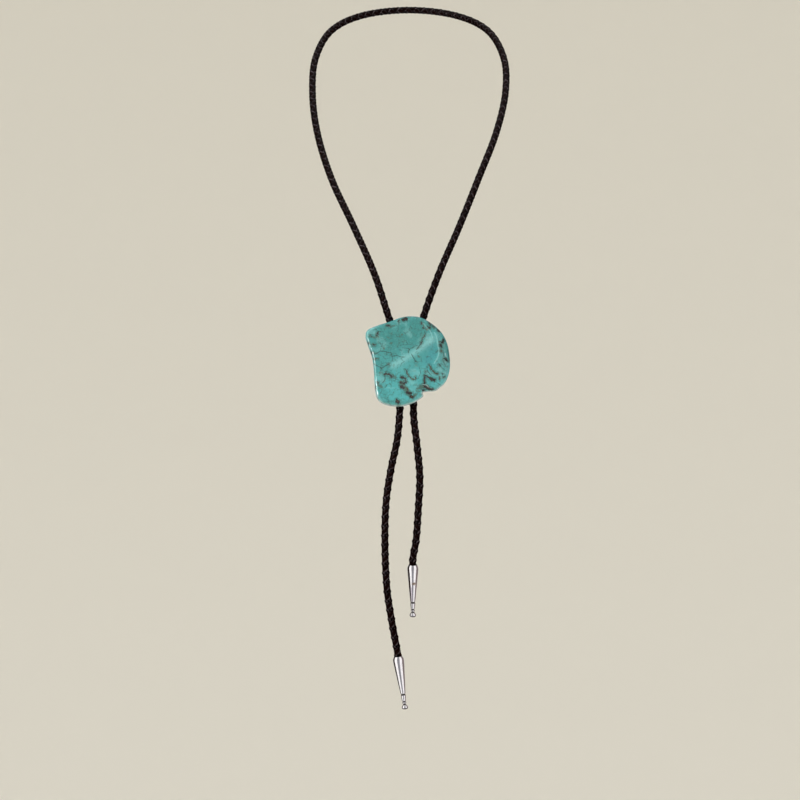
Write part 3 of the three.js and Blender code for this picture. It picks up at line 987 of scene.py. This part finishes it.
def slideFinish():
    material, tree, surface = newMaterial("brushed_nickel")
    brushed = noise(tree, objectPlace(tree, (1, 1, 0.03)), 9000, 3, 0.6)
    smudge = noise(tree, objectPlace(tree), 260, 4, 0.6)
    tone = colours(tree, ranged(tree, smudge, 0.4, 0.75), metal["nickel"], metal["solder"])
    setInput(tree, surface.inputs["Base Color"], tone)
    setInput(tree, surface.inputs["Roughness"], ranged(tree, brushed, 0.3, 0.7, 0.28, 0.44))
    surface.inputs["Metallic"].default_value = 1.0
    tree.links.new(bump(tree, brushed, 0.2, 0.00003), surface.inputs["Normal"])
    return material


turquoise = {
    "teal": (0.054, 0.250, 0.248),
    "cyan": (0.067, 0.316, 0.324),
    "green": (0.039, 0.190, 0.179),
    "light": (0.210, 0.455, 0.452),
    # darker, bluer teal for the painted shade in the valley
    "valleyShade": (0.044, 0.218, 0.243),
    "mottle": (0.060, 0.135, 0.105),
    "crack": (0.028, 0.040, 0.032),
    "black": (0.0022, 0.0045, 0.0030),
    "brown": (0.011, 0.011, 0.005),
    "gold": (0.10, 0.080, 0.032),
    "rust": (0.024, 0.019, 0.009),
    "pale": (0.33, 0.42, 0.42),
    "moss": (0.034, 0.066, 0.040),
}


def stoneFinish():
    material, tree, surface = newMaterial("polished_turquoise")
    place = objectPlace(tree)
    clouds = noise(tree, place, 95, 5, 0.55, 0.6)
    fine = noise(tree, place, 520, 5, 0.6)
    ragged = noise(tree, place, 1500, 4, 0.65)
    flecks = noise(tree, place, 2600, 3, 0.6)
    web = cells(tree, place, 300)
    smallWeb = cells(tree, place, 820)

    lower = ranged(tree, painted(tree, "up"), 0.35, -0.75)
    base = colours(tree, lower, turquoise["teal"], turquoise["cyan"])

    def lay(mask, name):
        return colours(tree, mask, base, turquoise[name])

    # Painted shade in the upper-left hollow: a darker green.
    base = lay(times(tree, painted(tree, "hollowShade"), 0.75), "green")
    base = lay(ranged(tree, clouds, 0.48, 0.68, 0, 0.55), "green")
    base = lay(ranged(tree, clouds, 0.46, 0.30, 0, 0.35), "light")
    # Painted shade in the valley, with a bluer, more saturated tone.
    base = lay(times(tree, painted(tree, "valleyShade"), 0.6), "valleyShade")
    # The lighter band: partly paler tone and partly a painted highlight.
    base = lay(times(tree, painted(tree, "bandToneAndSheen"), 0.62), "light")
    # Painted highlight and lifted shade along the lower and left rim.
    base = lay(times(tree, painted(tree, "paintedRimLight"), 0.85), "light")
    base = lay(ranged(tree, painted(tree, "paintedRimLight"), 0.55, 0.95, 0, 0.8), "pale")
    base = lay(ranged(tree, fine, 0.53, 0.72, 0, 0.6), "mottle")
    base = lay(ranged(tree, flecks, 0.57, 0.72, 0, 0.5), "mottle")
    base = lay(ranged(tree, flecks, 0.42, 0.28, 0, 0.35), "light")
    thread = times(tree, ranged(tree, web, 0.05, 0.0), ranged(tree, fine, 0.42, 0.58, 0, 0.6))
    base = lay(thread, "crack")
    thread = times(tree, ranged(tree, smallWeb, 0.06, 0.0), ranged(tree, clouds, 0.5, 0.6, 0, 0.35))
    base = lay(thread, "crack")

    wander = ranged(tree, ragged, 0.25, 0.75, -0.20, 0.20, smoothly=False)
    wide = ranged(tree, ragged, 0.25, 0.75, -0.70, 0.72, smoothly=False)

    def mask(kind, noiseOn, soft):
        return ranged(tree, plus(tree, painted(tree, kind), noiseOn), -soft, soft)

    patch = times(tree, mask("light", ranged(tree, fine, 0.3, 0.7, -1.8, 1.2), 1.6), 0.30)
    base = lay(patch, "light")
    # Painted highlight: a pale line along each crest of the crescent ridges.
    crestHighlight = times(tree, mask("crestHighlight", wander, 0.35), 0.55)
    base = lay(crestHighlight, "light")
    moss = times(tree, mask("moss", ranged(tree, ragged, 0.25, 0.75, -0.9, 0.9), 0.35), 0.8)
    base = lay(moss, "moss")
    stain = ranged(tree, sums(tree, "MAXIMUM", painted(tree, "dark"), painted(tree, "brown")), -1.5, 0.0)
    stain = times(tree, stain, ranged(tree, ragged, 0.38, 0.58, 0, 0.85))
    base = lay(stain, "moss")
    crack = times(tree, mask("crack", wander, 0.10), 0.85)
    base = lay(crack, "crack")
    matrix = colours(tree, ranged(tree, flecks, 0.54, 0.68), turquoise["black"], turquoise["brown"])
    matrix = colours(tree, ranged(tree, flecks, 0.68, 0.76, 0, 0.6), matrix, turquoise["gold"])
    dark = mask("dark", wide, 0.10)
    base = colours(tree, dark, base, matrix)
    rusty = colours(tree, ranged(tree, flecks, 0.50, 0.66), turquoise["rust"], turquoise["gold"])
    rusty = colours(tree, ranged(tree, ragged, 0.5, 0.62, 0, 0.8), rusty, turquoise["brown"])
    brown = mask("brown", wander, 0.10)
    base = colours(tree, brown, base, rusty)
    pale = mask("pale", times(tree, wide, 0.4), 0.12)
    base = lay(times(tree, pale, 0.6), "pale")
    setInput(tree, surface.inputs["Base Color"], base)

    matte = sums(tree, "MAXIMUM", dark, brown)
    matte = sums(tree, "MAXIMUM", matte, times(tree, moss, 0.6))
    polished = ranged(tree, fine, 0.3, 0.7, 0.15, 0.21)
    rough = plus(tree, polished, times(tree, matte, 0.45))
    ground = ranged(tree, painted(tree, "polish"), 0, 1, 0.42, 0.0)
    setInput(tree, surface.inputs["Roughness"], plus(tree, rough, ground))
    surface.inputs["Specular IOR Level"].default_value = 0.5
    relief = bump(tree, noise(tree, place, 170, 3, 0.5), 0.35, 0.00025)
    relief = bump(tree, times(tree, matte, flecks), 0.5, 0.00018, relief)
    relief = bump(tree, crack, -0.4, 0.00010, relief)
    tree.links.new(relief, surface.inputs["Normal"])
    return material


rustStain = {"along": 0.345, "height": 0.040, "around": 0.282, "width": 0.115}
tipMetal = tipFinish("polished_silver", None)
stainedMetal = tipFinish("stained_silver", rustStain)
finishOf = {
    braidedCord: leatherFinish(),
    tipLong: tipMetal,
    tipShort: stainedMetal,
    slideClip: slideFinish(),
    turquoiseSlab: stoneFinish(),
}
for piece, material in finishOf.items():
    piece.data.materials.clear()
    piece.data.materials.append(material)
print("finishes: on")


# The frame: each piece, the CAD part that it stands for and hides, and the finish slot listed with it, which
# nothing here reads; each piece rides on the root

roles = [
    (braidedCord, "cord", "leather_braid"),
    (tipLong, "tip_long_tail", "silver"),
    (tipShort, "tip_short_tail", "silver"),
    (slideClip, "slide", "nickel"),
    (turquoiseSlab, "stone", "turquoise"),
]
for piece, node, slot in roles:
    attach(piece, "root")
    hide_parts(node)


# Stage: a pale round floor that sweeps up into a wall all round, and soft lights

stage = {
    "floorHeight": -1.15,
    "floorRadius": 2.4,
    "sweep": 2.0,
    "wallHeight": 3.6,
    "colour": (0.80, 0.775, 0.70),
    "sides": 96,
    "sweepSteps": 10,
    "innerRing": 0.5,  # of the floor's radius, so that its middle is not one large face
    "lightsAimAt": (0, -0.15, -0.25),
    "tentRadius": 2.9,
    "tentHeight": 5.7,
    "tentMiddle": -0.65,
}

# What polished surfaces reflect: from one bearing to the next, in degrees right of the camera, and how bright
tentPanels = [
    ("back_left_panel", -180, -150, (0.80, 0.79, 0.78)),
    ("left_shade", -150, -86, (0.035, 0.022, 0.02)),
    ("left_panel", -86, -29, (1.30, 1.28, 1.30)),
    ("front_gap", -29, 22, (0.31, 0.31, 0.345)),
    ("right_panel", 22, 75, (1.20, 1.17, 1.21)),
    ("right_shade", 75, 150, (0.24, 0.19, 0.19)),
    ("back_right_panel", 150, 180, (0.80, 0.79, 0.78)),
]


def makeStage():
    bpy.ops.mesh.primitive_circle_add(vertices=stage["sides"], radius=stage["floorRadius"], fill_type="NGON",
                                      location=(0, 0, stage["floorHeight"]))
    floor = bpy.context.object
    floor.name = "pale_floor"
    applyPlace(floor)
    editAll(floor, "FACE")
    bpy.ops.mesh.inset(thickness=stage["floorRadius"] * stage["innerRing"])
    bpy.ops.mesh.select_all(action="DESELECT")
    leaveEdit()
    for edge in floor.data.edges:
        ends = [floor.data.vertices[v].co for v in edge.vertices]
        edge.select = all(math.hypot(p.x, p.y) > stage["floorRadius"] * 0.99 for p in ends)
    bpy.ops.object.mode_set(mode="EDIT")
    bpy.ops.mesh.select_mode(type="EDGE")
    steps = stage["sweepSteps"]
    reach, height = stage["floorRadius"], 0.0
    for step in range(1, steps + 2):
        angle = min(step / steps, 1) * math.pi / 2
        nextReach = stage["floorRadius"] + stage["sweep"] * math.sin(angle)
        nextHeight = stage["sweep"] * (1 - math.cos(angle))
        if step > steps:
            nextHeight = stage["wallHeight"]
        bpy.ops.mesh.extrude_edges_move(TRANSFORM_OT_translate={"value": (0, 0, nextHeight - height)})
        ratio = nextReach / reach
        bpy.ops.transform.resize(value=(ratio, ratio, 1), center_override=(0, 0, 0))
        reach, height = nextReach, nextHeight
    leaveEdit()
    smoothShade(floor, 60)
    material, tree, surface = newMaterial("pale_paper")
    surface.inputs["Base Color"].default_value = (*stage["colour"], 1)
    surface.inputs["Roughness"].default_value = 0.9
    surface.inputs["Specular IOR Level"].default_value = 0.1
    floor.data.materials.append(material)
    floor.visible_glossy = False


# A light that the pieces left out don't get.
def shineOnlyOn(light, pieces):
    lit = bpy.data.collections.new(light.name + "_shines_on")
    for piece in pieces:
        lit.objects.link(piece)
    light.light_linking.receiver_collection = lit


# A tent that only reflections see, so that polished metal shows crisp light and dark bands.
def addTent():
    bpy.ops.mesh.primitive_cylinder_add(vertices=stage["sides"], radius=stage["tentRadius"],
                                        depth=stage["tentHeight"], end_fill_type="NOTHING",
                                        location=(0, 0, stage["tentMiddle"]))
    tent = bpy.context.object
    tent.name = "reflected_tent"
    applyPlace(tent)
    for name, start, end, glow in tentPanels:
        material, tree, surface = newMaterial(name)
        surface.inputs["Base Color"].default_value = (0, 0, 0, 1)
        surface.inputs["Roughness"].default_value = 1.0
        surface.inputs["Emission Color"].default_value = (*glow, 1)
        surface.inputs["Emission Strength"].default_value = 1.0
        tent.data.materials.append(material)
    for face in tent.data.polygons:
        bearing = math.degrees(math.atan2(face.center.x, -face.center.y))
        face.material_index = next(i for i, panel in enumerate(tentPanels) if panel[1] <= bearing <= panel[2])
    tent.visible_camera = False
    tent.visible_diffuse = False
    tent.visible_shadow = False
    shineOnlyOn(tent, [tipLong, tipShort, slideClip, turquoiseSlab])


def addSoftbox(name, place, width, height, power):
    bpy.ops.object.light_add(type="AREA", location=place)
    light = bpy.context.object
    light.name = name
    light.data.shape = "RECTANGLE"
    light.data.size = width
    light.data.size_y = height
    light.data.energy = power
    aim = Vector(stage["lightsAimAt"]) - Vector(place)
    light.rotation_euler = aim.to_track_quat("-Z", "Y").to_euler()
    light.visible_camera = False
    light.visible_glossy = False
    return light


# A bright lamp that only reflections see, and only on one piece, for the sparkle on it.
def addGlint(name, place, width, height, power, piece):
    light = addSoftbox(name, place, width, height, power)
    light.visible_glossy = True
    light.visible_diffuse = False
    shineOnlyOn(light, [piece])


def setWorld(strength, colour):
    world = bpy.context.scene.world or bpy.data.worlds.new("soft_room")
    bpy.context.scene.world = world
    world.use_nodes = True
    background = world.node_tree.nodes["Background"]
    background.inputs["Color"].default_value = (*colour, 1)
    background.inputs["Strength"].default_value = strength


makeStage()
addTent()
addSoftbox("key", (-1.7, -1.35, 0.75), 0.7, 0.7, 42)
addSoftbox("fill", (1.8, -1.2, 0.2), 0.9, 1.5, 18)
addSoftbox("wash", (0, 0.4, 2.6), 3.0, 3.0, 52)
addSoftbox("bounce", (0.2, -1.3, -1.05), 1.2, 0.8, 2.5)
addGlint("leather_glint", (-1.5, -1.6, 0.75), 0.35, 0.8, 9, braidedCord)
addGlint("rim_glint", (-1.7, -1.35, -0.03), 0.22, 0.65, 105, turquoiseSlab)
setWorld(0.53, (1.0, 0.985, 0.975))
bpy.context.scene.view_settings.view_transform = "Standard"
print("stage: lit")
